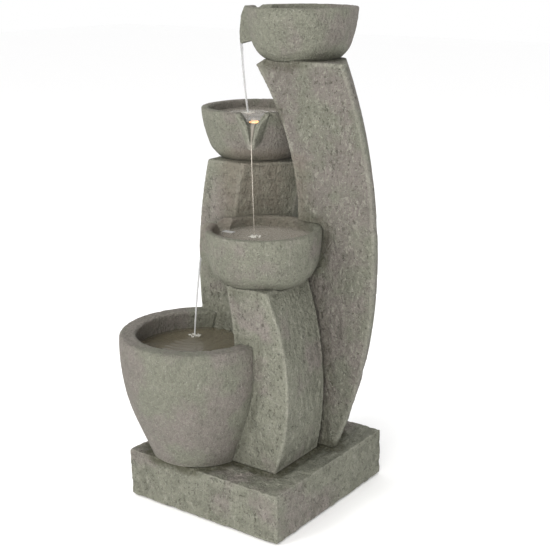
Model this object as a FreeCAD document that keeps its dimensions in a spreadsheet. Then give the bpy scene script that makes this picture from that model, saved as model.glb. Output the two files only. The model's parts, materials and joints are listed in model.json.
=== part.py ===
import FreeCAD, Part
import math
import os

import Sketcher

# A four-tier garden fountain: three curved hollow columns on a square plinth,
# three spouted bowls and a deep basin with a submersible pump.
# Frame: origin on the ground under the middle of the fountain's whole box, +Z up,
# +X to the right along the front of the plinth, -Y towards the front. The drawing
# below is made about the plinth's middle, and each finished piece is moved over.

SHEET = "Sizes"
VECTOR = FreeCAD.Vector

doc = FreeCAD.newDocument("fountain")
sheet = doc.addObject("Spreadsheet::Sheet", SHEET)


class Size:
    """A length that knows its value and the sheet expression it comes from."""

    def __init__(self, value, text):
        self.value = value
        self.text = text

    def __add__(self, other):
        return combine(self, other, "+", self.value + size(other).value)

    def __radd__(self, other):
        return combine(other, self, "+", size(other).value + self.value)

    def __sub__(self, other):
        return combine(self, other, "-", self.value - size(other).value)

    def __rsub__(self, other):
        return combine(other, self, "-", size(other).value - self.value)

    def __mul__(self, other):
        return combine(self, other, "*", self.value * size(other).value)

    def __rmul__(self, other):
        return combine(other, self, "*", size(other).value * self.value)

    def __truediv__(self, other):
        return combine(self, other, "/", self.value / size(other).value)

    def __neg__(self):
        return 0 - self


def size(item):
    """Wrap a plain number as a Size."""
    if isinstance(item, Size):
        return item
    return Size(float(item), f"({float(item):.6f})")


def combine(left, right, sign, value):
    """Join two sizes into one expression."""
    return Size(value, f"({size(left).text} {sign} {size(right).text})")


def driving(rows):
    """Write the driving dimensions to the sheet and return them by alias."""
    sizes = {}
    for number, (alias, value) in enumerate(rows, start=1):
        sheet.set(f"A{number}", alias.replace("_", " "))
        sheet.set(f"B{number}", str(value))
        sheet.setAlias(f"B{number}", alias)
        sizes[alias] = Size(float(value), f"{SHEET}.{alias}")
    doc.recompute()
    return sizes


D = driving([
    ("plinth_side", 380), ("plinth_height", 105), ("plinth_wall", 10),
    ("stone_wall", 9), ("bond_gap", 0.3),
    # rear column: two concave left arcs, one right arc, seen from the front
    ("rear_front", 50), ("rear_back", 171), ("rear_arris", 14),
    ("rear_waist_height", 578.7), ("rear_waist_left", 71),
    ("rear_upper_bend", 494.8), ("rear_lower_bend", 4500),
    ("rear_belly_height", 515.7), ("rear_belly_right", 251), ("rear_outer_bend", 953.8),
    ("rear_taper_left", 20), ("rear_taper_right", 70),
    ("rear_heel_height", 878.6), ("rear_top", 890),
    # left column
    ("left_front", 16.5), ("left_back", 186), ("left_belly_height", 443),
    ("left_belly", 163), ("left_outer_bend", 926), ("left_width", 90), ("left_flare", 90), ("left_foot_flare", 50), ("left_turn", 110),
    ("left_top", 686),
    # front column
    ("fore_front", 116), ("fore_back", 35), ("fore_belly_height", 272.5),
    ("fore_belly_right", 164.5), ("fore_outer_bend", 432.8),
    ("fore_back_height", 250), ("fore_back_right", 144.4), ("fore_back_bend", 635),
    ("fore_left", 38), ("fore_left_bend", 950), ("fore_top", 474),
    # bowls: rim centre, rim height, radius and depth of each
    ("top_across", 33), ("top_along", 121), ("top_rim", 990), ("top_radius", 113),
    ("top_depth", 104), ("top_reach", 153), ("top_drop", 81),
    ("second_across", 76.5), ("second_along", 117.9), ("second_rim", 787.8),
    ("second_radius", 117.5), ("second_depth", 107), ("second_reach", 150),
    ("second_drop", 69.5),
    ("third_across", 45.6), ("third_along", 30.4), ("third_rim", 575.7),
    ("third_radius", 115), ("third_depth", 110), ("third_reach", 160), ("third_drop", 87),
    ("bowl_lip", 17), ("lip_edge", 4), ("bowl_floor", 14), ("spout_half", 35), ("spout_wall", 6),
    # basin
    ("basin_across", 72.2), ("basin_along", 98.8), ("basin_radius", 156),
    ("basin_height", 256.5), ("basin_foot", 99), ("basin_lip", 35), ("basin_wall", 13),
    # service door in the plinth's rear wall
    ("door_width", 150), ("door_height", 64), ("door_thick", 6), ("door_middle", 55),
    ("screw_radius", 3), ("running_gap", 0.05), ("knob_radius", 8),
    # rubber feet and mains gland
    ("foot_radius", 14), ("foot_height", 6), ("foot_show", 2), ("foot_inset", 26),
    ("gland_radius", 9), ("gland_bore", 3.6), ("gland_across", 120), ("gland_level", 30),
    # pump
    ("pump_long", 50), ("pump_wide", 46), ("pump_tall", 44), ("pump_level", 126), ("pump_shift", 18),
    ("chamber_radius", 17), ("chamber_deep", 16), ("shaft_radius", 1.5),
    ("rotor_radius", 12), ("rotor_deep", 9), ("outlet_radius", 6.5), ("outlet_tall", 20),
    ("cover_wall", 2), ("cover_long", 30),
    # hose, leads and lamps
    ("hose_radius", 8.5), ("hose_bore", 6), ("lead_radius", 2.6),
    ("lamp_radius", 14), ("lamp_tall", 20), ("lens_radius", 11),
])

# Spots as (across, along) or (across, along, up)
REAR_WELL = (85, 113)
LEFT_WELL = (-52, 95)
HOSE_WALL = (-98, 8, 250)
LEAD_WALL = (-70, 8, 250)
LAMP_SECOND = (-62, 86)
LAMP_BASIN = (-88, -155)
SCREW_ACROSS = 66
SPOUT_TURN = {"top": 180, "second": -58, "third": 180}
# Share of the radius that each bowl reaches low on its flank
BELLY = {"top": 0.89, "second": 0.89, "third": 0.935}

# Middle of the whole box, seen from above, measured from the plinth's middle
MIDDLE = [(D["rear_belly_right"] - D["basin_across"] - D["basin_radius"]) / 2,
          (D["second_along"] + D["second_radius"] - D["basin_along"] - D["basin_radius"]) / 2,
          size(0)]

NODES = {}
SPOTS = {}
PLANE_OF = {"front": "XZ_Plane", "side": "YZ_Plane", "level": "XY_Plane"}


def keep(label, item):
    """Name a finished sub-part after its file and move it to the whole fountain's frame."""
    item.Label = label
    NODES[label] = item
    spots = SPOTS.get(item.Name, [size(0)] * 3)
    for letter, spot, middle in zip("xyz", spots, MIDDLE):
        item.setExpression(f".Placement.Base.{letter}", (spot - middle).text)
    return item


def place(item, across=0, along=0, up=0, turn=0, axis=VECTOR(0, 0, 1)):
    """Put an object at a point, turned about an axis, with bound coordinates."""
    spots = [size(across), size(along), size(up)]
    base = VECTOR(*[spot.value for spot in spots])
    item.Placement = FreeCAD.Placement(base, FreeCAD.Rotation(axis, turn))
    for letter, spot in zip("xyz", spots):
        item.setExpression(f".Placement.Base.{letter}", spot.text)
    SPOTS[item.Name] = spots
    return item


def bend_centre(start, end, bend):
    """Centre of the arc of signed radius bend from start to end (plus is anticlockwise)."""
    middle = (start + end) * 0.5
    run = end - start
    rise = math.sqrt(max(bend * bend - (run.Length / 2) ** 2, 0))
    normal = VECTOR(-run.y, run.x, 0).normalize()
    return middle + normal * rise * (1 if bend > 0 else -1)


def outline(body, name, plane, shift, corners):
    """Closed sketch. Each corner is (x, y) or (x, y, bend) where bend shapes its next edge."""
    sketch = body.newObject("Sketcher::SketchObject", name)
    role = PLANE_OF[plane]
    support = [item for item in body.Origin.OriginFeatures if item.Role == role][0]
    sketch.AttachmentSupport = [(support, "")]
    sketch.MapMode = "FlatFace"
    away = -size(shift) if plane == "front" else size(shift)
    sketch.AttachmentOffset = FreeCAD.Placement(VECTOR(0, 0, away.value), FreeCAD.Rotation())
    sketch.setExpression(".AttachmentOffset.Base.z", away.text)
    spots = [VECTOR(size(c[0]).value, size(c[1]).value, 0) for c in corners]
    starts = []
    ends = []
    for index, corner in enumerate(corners):
        start = spots[index]
        end = spots[(index + 1) % len(spots)]
        if len(corner) == 2:
            edge = sketch.addGeometry(Part.LineSegment(start, end))
            starts.append((edge, 1))
            ends.append((edge, 2))
            continue
        bend = size(corner[2])
        centre = bend_centre(start, end, bend.value)
        first, last = (start, end) if bend.value > 0 else (end, start)
        angles = [math.atan2(p.y - centre.y, p.x - centre.x) for p in (first, last)]
        circle = Part.Circle(centre, VECTOR(0, 0, 1), abs(bend.value))
        edge = sketch.addGeometry(Part.ArcOfCircle(circle, angles[0], angles[1]))
        starts.append((edge, 1 if bend.value > 0 else 2))
        ends.append((edge, 2 if bend.value > 0 else 1))
        radius = bend if bend.value > 0 else -bend
        rule = sketch.addConstraint(Sketcher.Constraint("Radius", edge, radius.value))
        sketch.setExpression(f"Constraints[{rule}]", radius.text)
    for index, corner in enumerate(corners):
        edge, end = starts[index]
        before = ends[index - 1]
        sketch.addConstraint(Sketcher.Constraint("Coincident", before[0], before[1], edge, end))
        for kind, spot, line in (("DistanceX", corner[0], -2), ("DistanceY", corner[1], -1)):
            if not isinstance(spot, Size) and spot == 0:
                sketch.addConstraint(Sketcher.Constraint("PointOnObject", edge, end, line))
                continue
            rule = sketch.addConstraint(
                Sketcher.Constraint(kind, -1, 1, edge, end, size(spot).value))
            sketch.setExpression(f"Constraints[{rule}]", size(spot).text)
    return sketch


def new_body(label):
    """Start a PartDesign body."""
    return doc.addObject("PartDesign::Body", label)


def loft(body, name, sketches, cut=False):
    """Ruled loft through sketches, added to or cut from the body."""
    kind = "PartDesign::SubtractiveLoft" if cut else "PartDesign::AdditiveLoft"
    feature = body.newObject(kind, name)
    feature.Profile = sketches[0]
    feature.Sections = sketches[1:]
    feature.Ruled = True
    return feature


def spin(body, name, sketch, cut=False):
    """Revolve a sketch about its vertical axis, added to or cut from the body."""
    kind = "PartDesign::Groove" if cut else "PartDesign::Revolution"
    feature = body.newObject(kind, name)
    feature.Profile = sketch
    feature.ReferenceAxis = (sketch, ["V_Axis"])
    feature.Angle = 360
    return feature


def turned(label, corners):
    """Body of revolution about its own Z from one section."""
    body = new_body(label)
    spin(body, f"{label}_turn", outline(body, f"{label}_section", "front", 0, corners))
    return body


def block(name, long, wide, tall):
    """Box with bound sides, its corner at the origin."""
    item = doc.addObject("Part::Box", name)
    for side, length in (("Length", long), ("Width", wide), ("Height", tall)):
        item.setExpression(side, size(length).text)
    return item


def rod(name, radius, tall):
    """Cylinder with bound radius and height, standing on the origin."""
    item = doc.addObject("Part::Cylinder", name)
    item.setExpression("Radius", size(radius).text)
    item.setExpression("Height", size(tall).text)
    return item


def join(name, items):
    """Fuse objects into one."""
    item = doc.addObject("Part::MultiFuse", name)
    item.Shapes = items
    return item


def cut(name, base, tools):
    """Cut tools away from a base."""
    item = doc.addObject("Part::Cut", name)
    item.Base = base
    item.Tool = tools[0] if len(tools) == 1 else join(f"{name}_tools", tools)
    return item


def tube(name, outer, inner, tall):
    """Ring or pipe standing on the origin."""
    core = rod(f"{name}_core", inner, size(tall) + 2)
    place(core, 0, 0, -1)
    return cut(name, rod(f"{name}_rod", outer, tall), [core])


def group(name, items):
    """Several separate solids kept as one node."""
    item = doc.addObject("Part::Compound", name)
    item.Links = items
    return item


def smooth_path(points):
    """Straight runs joined by tangent arcs, each arc as large as its runs allow."""
    spots = [VECTOR(*point) for point in points]
    edges = []
    start = spots[0]
    for before, corner, after in zip(spots, spots[1:], spots[2:]):
        inward = (corner - before).normalize()
        outward = (after - corner).normalize()
        turn = inward.getAngle(outward)
        setback = 0.45 * min((corner - before).Length, (after - corner).Length)
        radius = setback / math.tan(turn / 2)
        print(f"  bend radius {radius:.0f}")
        enter = corner - inward * setback
        leave = corner + outward * setback
        bisector = (outward - inward).normalize()
        centre = corner + bisector * (radius / math.cos(turn / 2))
        crown = centre - bisector * radius
        edges.append(Part.LineSegment(start, enter).toShape())
        edges.append(Part.Arc(enter, crown, leave).toShape())
        start = leave
    edges.append(Part.LineSegment(start, spots[-1]).toShape())
    return Part.Wire(edges)


def hose(label, points, outer, inner=None):
    """Round hose or lead along a path; its shape has no primitive."""
    path = smooth_path(points)
    start = VECTOR(*points[0])
    heading = VECTOR(*points[1]) - start
    shapes = []
    for radius in [outer] if inner is None else [outer, inner]:
        ring = Part.Wire(Part.Circle(start, heading, radius.value).toShape())
        shapes.append(path.makePipeShell([ring], True, False))
    shape = shapes[0] if inner is None else shapes[0].cut(shapes[1])
    expected = math.pi * (outer.value ** 2 - (inner.value ** 2 if inner else 0)) * path.Length
    print(f"{label}: length {path.Length:.0f}, volume {shape.Volume / expected:.3f} of expected")
    item = doc.addObject("Part::Feature", label)
    item.Shape = shape
    return keep(label, item)


# ---------------------------------------------------------------- columns
# A column is a ruled loft from a front outline to a back outline, both in
# planes parallel to XZ. Its cavity is the same outline drawn inside the wall.


def arc_x(height, crown_height, crown, bend, side):
    """X at a height on an arc whose crown, its furthest point, lies at crown."""
    lift = (height.value - crown_height.value) / bend.value
    sag = bend.value * (1 - math.sqrt(1 - lift * lift))
    part_of = f"(sqrt(1 - (({height.text} - {crown_height.text}) / {bend.text}) ^ 2))"
    sag_size = Size(sag, f"({bend.text} * (1 - {part_of}))")
    return crown - side * sag_size


def rear_outline(foot, grow, taper_left, taper_right):
    """Rear column outline: heel and flat top, right arc, two left arcs."""
    upper = D["rear_upper_bend"] - grow
    lower = D["rear_lower_bend"] - grow
    outer = D["rear_outer_bend"] + grow
    waist = D["rear_waist_left"] - grow + taper_left
    belly = D["rear_belly_right"] + grow - taper_right
    waist_height = D["rear_waist_height"]
    top = D["rear_top"] + grow
    heel = D["rear_heel_height"] + grow
    left_foot = arc_x(foot, waist_height, waist, lower, 1)
    left_heel = arc_x(heel, waist_height, waist, upper, 1)
    right_foot = arc_x(foot, D["rear_belly_height"], belly, outer, 1)
    right_top = arc_x(top, D["rear_belly_height"], belly, outer, 1)
    shoulder = left_heel + 1.85 * (top - heel)
    return [(left_foot, foot), (right_foot, foot, outer), (right_top, top), (shoulder, top),
            (left_heel, heel, -upper), (waist, waist_height, -lower)]


def left_outline(foot, grow, foot_flare, top_flare):
    """Left column outline: an arc bulging left, a parallel arc on its right."""
    outer = D["left_outer_bend"] + grow
    inner = D["left_outer_bend"] - D["left_width"] - grow
    belly = -D["left_belly"] - grow
    hollow = -D["left_belly"] + D["left_width"] + grow
    level = D["left_belly_height"]
    top = D["left_top"] + grow
    right_foot = arc_x(foot, level, hollow, inner, -1) + foot_flare
    right_top = arc_x(top, level, hollow, inner, -1) + top_flare
    left_top = arc_x(top, level, belly, outer, -1)
    left_foot = arc_x(foot, level, belly, outer, -1)
    return [(left_foot, foot), (right_foot, foot, -inner), (right_top, top),
            (left_top, top, outer)]


def fore_outline(foot, grow, back):
    """Front column outline: a flat left arc and a strongly bulging right arc."""
    level = D["fore_back_height"] if back else D["fore_belly_height"]
    belly = (D["fore_back_right"] if back else D["fore_belly_right"]) + grow
    outer = (D["fore_back_bend"] if back else D["fore_outer_bend"]) + grow
    inner = D["fore_left_bend"] - grow
    top = D["fore_top"] + grow
    left = D["fore_left"] - grow
    left_foot = arc_x(foot, D["fore_belly_height"], left, inner, 1)
    left_top = arc_x(top, D["fore_belly_height"], left, inner, 1)
    right_foot = arc_x(foot, level, belly, outer, 1)
    right_top = arc_x(top, level, belly, outer, 1)
    return [(left_foot, foot), (right_foot, foot, outer), (right_top, top),
            (left_top, top, -inner)]


def rear_sections(body, tag, foot, grow):
    """Three outlines of the rear column: face, arris and tapered back."""
    face = D["rear_front"] - grow
    straight = rear_outline(foot, grow, size(0), size(0))
    tapered = rear_outline(foot, grow, D["rear_taper_left"], D["rear_taper_right"])
    return [outline(body, f"{tag}_face", "front", face, straight),
            outline(body, f"{tag}_arris", "front", D["rear_front"] + D["rear_arris"], straight),
            outline(body, f"{tag}_back", "front", D["rear_back"] + grow, tapered)]


def left_sections(body, tag, foot, grow):
    """Three outlines of the left column: face, turn of the flared side and back."""
    flared = left_outline(foot, grow, D["left_foot_flare"], D["left_flare"])
    return [outline(body, f"{tag}_face", "front", D["left_front"] - grow,
                    left_outline(foot, grow, size(0), size(0))),
            outline(body, f"{tag}_turn", "front", D["left_turn"], flared),
            outline(body, f"{tag}_back", "front", D["left_back"] + grow, flared)]


def fore_sections(body, tag, foot, grow):
    """Two outlines of the front column."""
    return [outline(body, f"{tag}_face", "front", -D["fore_front"] - grow,
                    fore_outline(foot, grow, False)),
            outline(body, f"{tag}_back", "front", D["fore_back"] + grow,
                    fore_outline(foot, grow, True))]


def column(label, sections, hollow=True):
    """Column shell, open underneath, or a filled and grown copy to trim a bowl with."""
    body = new_body(label)
    foot = D["plinth_height"]
    grow = size(0) if hollow else D["bond_gap"]
    loft(body, f"{label}_loft", sections(body, f"{label}_outer", foot, grow))
    if hollow:
        wall = -D["stone_wall"]
        loft(body, f"{label}_cavity", sections(body, f"{label}_inner", foot - 0.5, wall), cut=True)
    return body


# ---------------------------------------------------------------- bowls
# In its own frame a bowl stands on the origin and pours towards +X.


def bowl_section(radius, depth, belly):
    """Half section of a bowl: foot, rounded flank, flat lip and hollow."""
    floor = D["bowl_floor"]
    inner_rim = radius - D["bowl_lip"]
    edge = D["lip_edge"]
    flank = belly + 0.35 * (1 - belly)
    return [(0, 0), (0.6 * radius, 0, 0.5 * radius), (belly * radius, 0.38 * depth, 1.9 * radius),
            (radius, depth - edge, edge), (radius - edge, depth), (inner_rim + edge, depth, edge),
            (inner_rim, depth - edge, -1.6 * radius),
            (flank * inner_rim, 0.42 * depth, -0.62 * radius),
            (0.5 * inner_rim, floor), (0, floor)]


def plug_section(radius, depth, belly, grow):
    """Half section of a bowl's filled and grown outside."""
    return [(0, -grow), (0.6 * radius, -grow, 0.5 * radius),
            (belly * radius + grow, 0.38 * depth, 1.9 * radius), (radius + grow, depth),
            (0, depth)]


def spout_station(body, name, reach, half_top, half_low, top, low):
    """Trapezium across the spout at a distance from the bowl's axis."""
    return outline(body, name, "side", reach,
                   [(-half_low, low), (half_low, low), (half_top, top), (-half_top, top)])


def bowl(label, tag):
    """Bowl with a pointed pouring lip whose channel runs down to the tip."""
    radius, depth = D[f"{tag}_radius"], D[f"{tag}_depth"]
    reach, drop = D[f"{tag}_reach"], D[f"{tag}_drop"]
    half, wall = D["spout_half"], D["spout_wall"]
    body = new_body(label)
    spin(body, f"{label}_turn", outline(body, f"{label}_section", "front", 0,
                                        bowl_section(radius, depth, BELLY[tag])))
    brow = radius + 4
    bend = brow + 0.6 * (reach - brow)
    # distance, half width at the top and below, drop of the top and of the underside
    beak = [("root", radius - D["bowl_lip"] - 2, 1, 0.45, 0.01, 0.88),
            ("brow", brow, 1, 0.4, 0.01, 0.88),
            ("bend", bend, 0.55, 0.28, 0.26, 0.94),
            ("tip", reach, 0.19, 0.14, 0.66, 1)]
    loft(body, f"{label}_beak", [
        spout_station(body, f"{label}_beak_{name}", away, wide * half, narrow * half,
                      depth - top * drop, depth - low * drop)
        for name, away, wide, narrow, top, low in beak])
    channel = [("root", radius - 2 * D["bowl_lip"], half - wall, 0.26 * half, 0.26),
               ("brow", brow, half - wall, 0.22 * half, 0.4),
               ("bend", bend, 0.55 * half - wall, 0.12 * half, 0.66),
               ("tip", reach + 3, 0.08 * half, 0.05 * half, 0.88)]
    loft(body, f"{label}_channel", [
        spout_station(body, f"{label}_channel_{name}", away, wide, narrow, depth + 8,
                      depth - low * drop)
        for name, away, wide, narrow, low in channel], cut=True)
    return body


def plug(label, tag):
    """Filled copy of a bowl's outside, grown by the bond gap, to seat it in a column."""
    return turned(label, plug_section(D[f"{tag}_radius"], D[f"{tag}_depth"],
                                       BELLY[tag], D["bond_gap"]))


def bowl_spot(tag):
    """Place of a bowl's foot centre: across, along, up."""
    signs = {"top": (1, 1), "second": (-1, 1), "third": (1, -1)}[tag]
    return (signs[0] * D[f"{tag}_across"], signs[1] * D[f"{tag}_along"],
            D[f"{tag}_rim"] - D[f"{tag}_depth"])


def make_stone():
    """The eight cast stone pieces, trimmed where they are bonded together."""
    seats = {}
    for tag in SPOUT_TURN:
        seats[tag] = place(plug(f"{tag}_seat", tag), *bowl_spot(tag))
    rear = column("rear_shell", rear_sections)
    left = column("left_shell", left_sections)
    fore = column("front_shell", fore_sections)
    rear_trim = column("rear_trim", rear_sections, hollow=False)
    left_trim = column("left_trim", left_sections, hollow=False)
    fore_trim = column("front_trim", fore_sections, hollow=False)
    nozzle_hole = place(rod("nozzle_hole", 9, 60), D["top_across"], D["top_along"],
                        D["rear_top"] - 50)
    keep("rear_column", cut("rear_cut", rear, [seats["top"], seats["third"], nozzle_hole]))
    hose_hole = rod("hose_hole", D["hose_radius"] + 3, 30)
    place(hose_hole, *HOSE_WALL, turn=-90, axis=VECTOR(1, 0, 0))
    lead_hole = rod("lead_hole", D["lead_radius"] + 2.5, 30)
    place(lead_hole, *LEAD_WALL, turn=-90, axis=VECTOR(1, 0, 0))
    lamp_hole = place(rod("lamp_hole", 5, 60), *LAMP_SECOND, D["left_top"] - 50)
    keep("left_column", cut("left_cut", left, [seats["second"], hose_hole, lead_hole, lamp_hole]))
    keep("front_column", cut("front_cut", fore, [seats["third"]]))

    top = place(bowl("top_casting", "top"), *bowl_spot("top"), turn=SPOUT_TURN["top"])
    bore = place(rod("top_bore", D["outlet_radius"] + 2, 60), D["top_across"], D["top_along"],
                 D["top_rim"] - D["top_depth"] - 20)
    keep("top_bowl", cut("top_cut", top, [bore]))
    second = place(bowl("second_casting", "second"), *bowl_spot("second"),
                   turn=SPOUT_TURN["second"])
    gland = place(rod("second_bore", 5, 60), *LAMP_SECOND,
                  D["second_rim"] - D["second_depth"] - 20)
    keep("second_bowl", cut("second_cut", second, [rear_trim, gland]))
    third = place(bowl("third_casting", "third"), *bowl_spot("third"), turn=SPOUT_TURN["third"])
    keep("third_bowl", cut("third_cut", third, [left_trim]))

    radius, foot, height = D["basin_radius"], D["basin_foot"], D["basin_height"]
    lip, wall = D["basin_lip"], D["basin_wall"]
    edge = 1.5 * D["lip_edge"]
    basin = turned("basin_casting", [
        (0, 0), (foot, 0), (0.835 * radius, 0.31 * height, 2.6 * radius),
        (radius, height - edge, edge), (radius - edge, height),
        (radius - lip + edge, height, edge), (radius - lip, height - edge, -2.6 * radius),
        (0.835 * radius - wall, 0.36 * height), (foot - wall - 3, wall, -9),
        (foot - wall - 12, wall), (0, wall)])
    place(basin, -D["basin_across"], -D["basin_along"], D["plinth_height"] + D["bond_gap"])
    recesses = []
    for name, spot, opening in (("hose", HOSE_WALL, D["hose_radius"] + 8),
                                ("lead", LEAD_WALL, D["lead_radius"] + 8)):
        recess = rod(f"{name}_recess", opening, 30)
        recesses.append(place(recess, spot[0], spot[1] - 14, spot[2], turn=-90,
                              axis=VECTOR(1, 0, 0)))
    keep("basin", cut("basin_cut", basin, [left_trim, fore_trim] + recesses))


# ---------------------------------------------------------------- plinth

def make_plinth():
    """Hollow square plinth with a door, gland and hose openings."""
    side, height, wall = D["plinth_side"], D["plinth_height"], D["plinth_wall"]
    lift = D["foot_show"]
    block_all = place(block("plinth_block", side, side, height - lift), -side / 2, -side / 2, lift)
    room = block("plinth_room", side - 2 * wall, side - 2 * wall, height - wall)
    place(room, wall - side / 2, wall - side / 2, 0)
    shell = cut("plinth_shell", block_all, [room])
    bosses = []
    pockets = []
    pads = []
    spot = side / 2 - D["foot_inset"]
    boss = D["foot_inset"] + D["foot_radius"] + 3
    for number, (x, y) in enumerate([(-1, -1), (1, -1), (1, 1), (-1, 1)]):
        corner = block(f"corner_boss_{number}", boss - 4, boss - 4, height - lift - 4)
        left = 4 - side / 2 if x < 0 else side / 2 - boss
        near = 4 - side / 2 if y < 0 else side / 2 - boss
        bosses.append(place(corner, left, near, lift))
        pocket = rod(f"foot_pocket_{number}", D["foot_radius"] + 0.3, D["foot_height"] + 0.3)
        pockets.append(place(pocket, x * spot, y * spot, 0))
        pads.append(place(rod(f"foot_{number}", D["foot_radius"], D["foot_height"]),
                          x * spot, y * spot, 0))
    outer = join("plinth_blank", [shell] + bosses)
    tools = pockets
    for name, spot in (("rear_well", REAR_WELL), ("left_well", LEFT_WELL)):
        tools.append(place(rod(name, 30, 40), *spot, height - 30))
    half = D["door_width"] / 2
    doorway = block("doorway", D["door_width"] - 24, wall + 20, D["door_height"] - 16)
    place(doorway, 12 - half, side / 2 - wall - 10,
          D["door_middle"] - D["door_height"] / 2 + 8)
    recess = block("door_recess", D["door_width"] + 1, D["door_thick"] + 10, D["door_height"] + 1)
    place(recess, -half - 0.5, side / 2 - D["door_thick"] - 0.4,
          D["door_middle"] - D["door_height"] / 2 - 0.5)
    gland = rod("gland_hole", D["gland_radius"], wall + 20)
    place(gland, -D["gland_across"], side / 2 + 10, D["gland_level"], turn=90, axis=VECTOR(1, 0, 0))
    tools += [doorway, recess, gland]
    for name, sign in (("left", -1), ("right", 1)):
        hole = rod(f"insert_hole_{name}", D["screw_radius"] + 2, 30)
        place(hole, sign * SCREW_ACROSS, side / 2 - 20, D["door_middle"], turn=-90,
              axis=VECTOR(1, 0, 0))
        tools.append(hole)
    keep("base_plinth", cut("plinth_cut", outer, tools))

    keep("rubber_feet", group("feet", pads))

    ring = tube("grommet_ring", D["gland_radius"] - 0.1, D["gland_bore"], wall + 8)
    place(ring, -D["gland_across"], side / 2 + 4, D["gland_level"], turn=90, axis=VECTOR(1, 0, 0))
    flange = tube("grommet_flange", D["gland_radius"] + 4, D["gland_bore"], 3.7)
    place(flange, -D["gland_across"], side / 2 + 4, D["gland_level"], turn=90,
          axis=VECTOR(1, 0, 0))
    keep("cord_grommet", join("grommet", [ring, flange]))


def make_door():
    """Service door with its gasket, threaded inserts and two thumb screws."""
    side, wall, thick = D["plinth_side"], D["plinth_wall"], D["door_thick"]
    half, low = D["door_width"] / 2, D["door_middle"] - D["door_height"] / 2
    face = side / 2
    panel = place(block("door_panel", D["door_width"], thick - 1.4, D["door_height"]),
                  -half, face - thick + 1.4, low)
    ribs = [panel]
    for number in range(5):
        rib = block(f"door_rib_{number}", 2.5, 2.5, D["door_height"] - 18)
        ribs.append(place(rib, -36 + 17 * number, face - 0.6, low + 9))
    holes = []
    for name, sign in (("left", -1), ("right", 1)):
        hole = rod(f"door_hole_{name}", D["screw_radius"] + 0.5, 30)
        holes.append(place(hole, sign * SCREW_ACROSS, face - 20, D["door_middle"], turn=-90,
                           axis=VECTOR(1, 0, 0)))
    keep("access_door", cut("door_cut", join("door_blank", ribs), holes))

    seal_outer = place(block("seal_outer", D["door_width"] - 26, 1.2, D["door_height"] - 4),
                       13 - half, face - thick, low + 2)
    seal_inner = place(block("seal_inner", D["door_width"] - 36, 8, D["door_height"] - 14),
                       18 - half, face - thick - 3, low + 7)
    gap = doc.addObject("Part::Cut", "seal_ring")
    gap.Base = seal_outer
    gap.Tool = seal_inner
    keep("door_gasket", gap)

    sleeves = []
    for name, sign in (("left", -1), ("right", 1)):
        sleeve = tube(f"insert_{name}", D["screw_radius"] + 1.9,
                      D["screw_radius"] + D["running_gap"], 12)
        sleeves.append(place(sleeve, sign * SCREW_ACROSS, face - thick - 13.5, D["door_middle"],
                             turn=-90, axis=VECTOR(1, 0, 0)))
        shank = rod(f"shank_{name}", D["screw_radius"], 17)
        place(shank, 0, 0, -17)
        knob = rod(f"knob_{name}", D["knob_radius"], 6)
        place(knob, 0, 0, 0.4)
        collar = rod(f"collar_{name}", D["screw_radius"] + 1.5, 1.5)
        place(collar, 0, 0, -0.2)
        grips = []
        for number in range(8):
            angle = math.radians(45 * number)
            grip = rod(f"grip_{name}_{number}", 1.6, 12)
            reach = D["knob_radius"] + 0.6
            grips.append(place(grip, reach * math.cos(angle), reach * math.sin(angle), -2))
        screw = cut(f"screw_{name}", join(f"screw_blank_{name}", [shank, knob, collar]), grips)
        place(screw, sign * SCREW_ACROSS, face + 0.4, D["door_middle"], turn=-90,
              axis=VECTOR(1, 0, 0))
        keep(f"door_screw_{name}", screw)
    keep("door_inserts", group("inserts", sleeves))


# ---------------------------------------------------------------- pump
# The pump stands on the basin floor; its shaft lies along X and it draws in
# water from its -X end.


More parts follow.
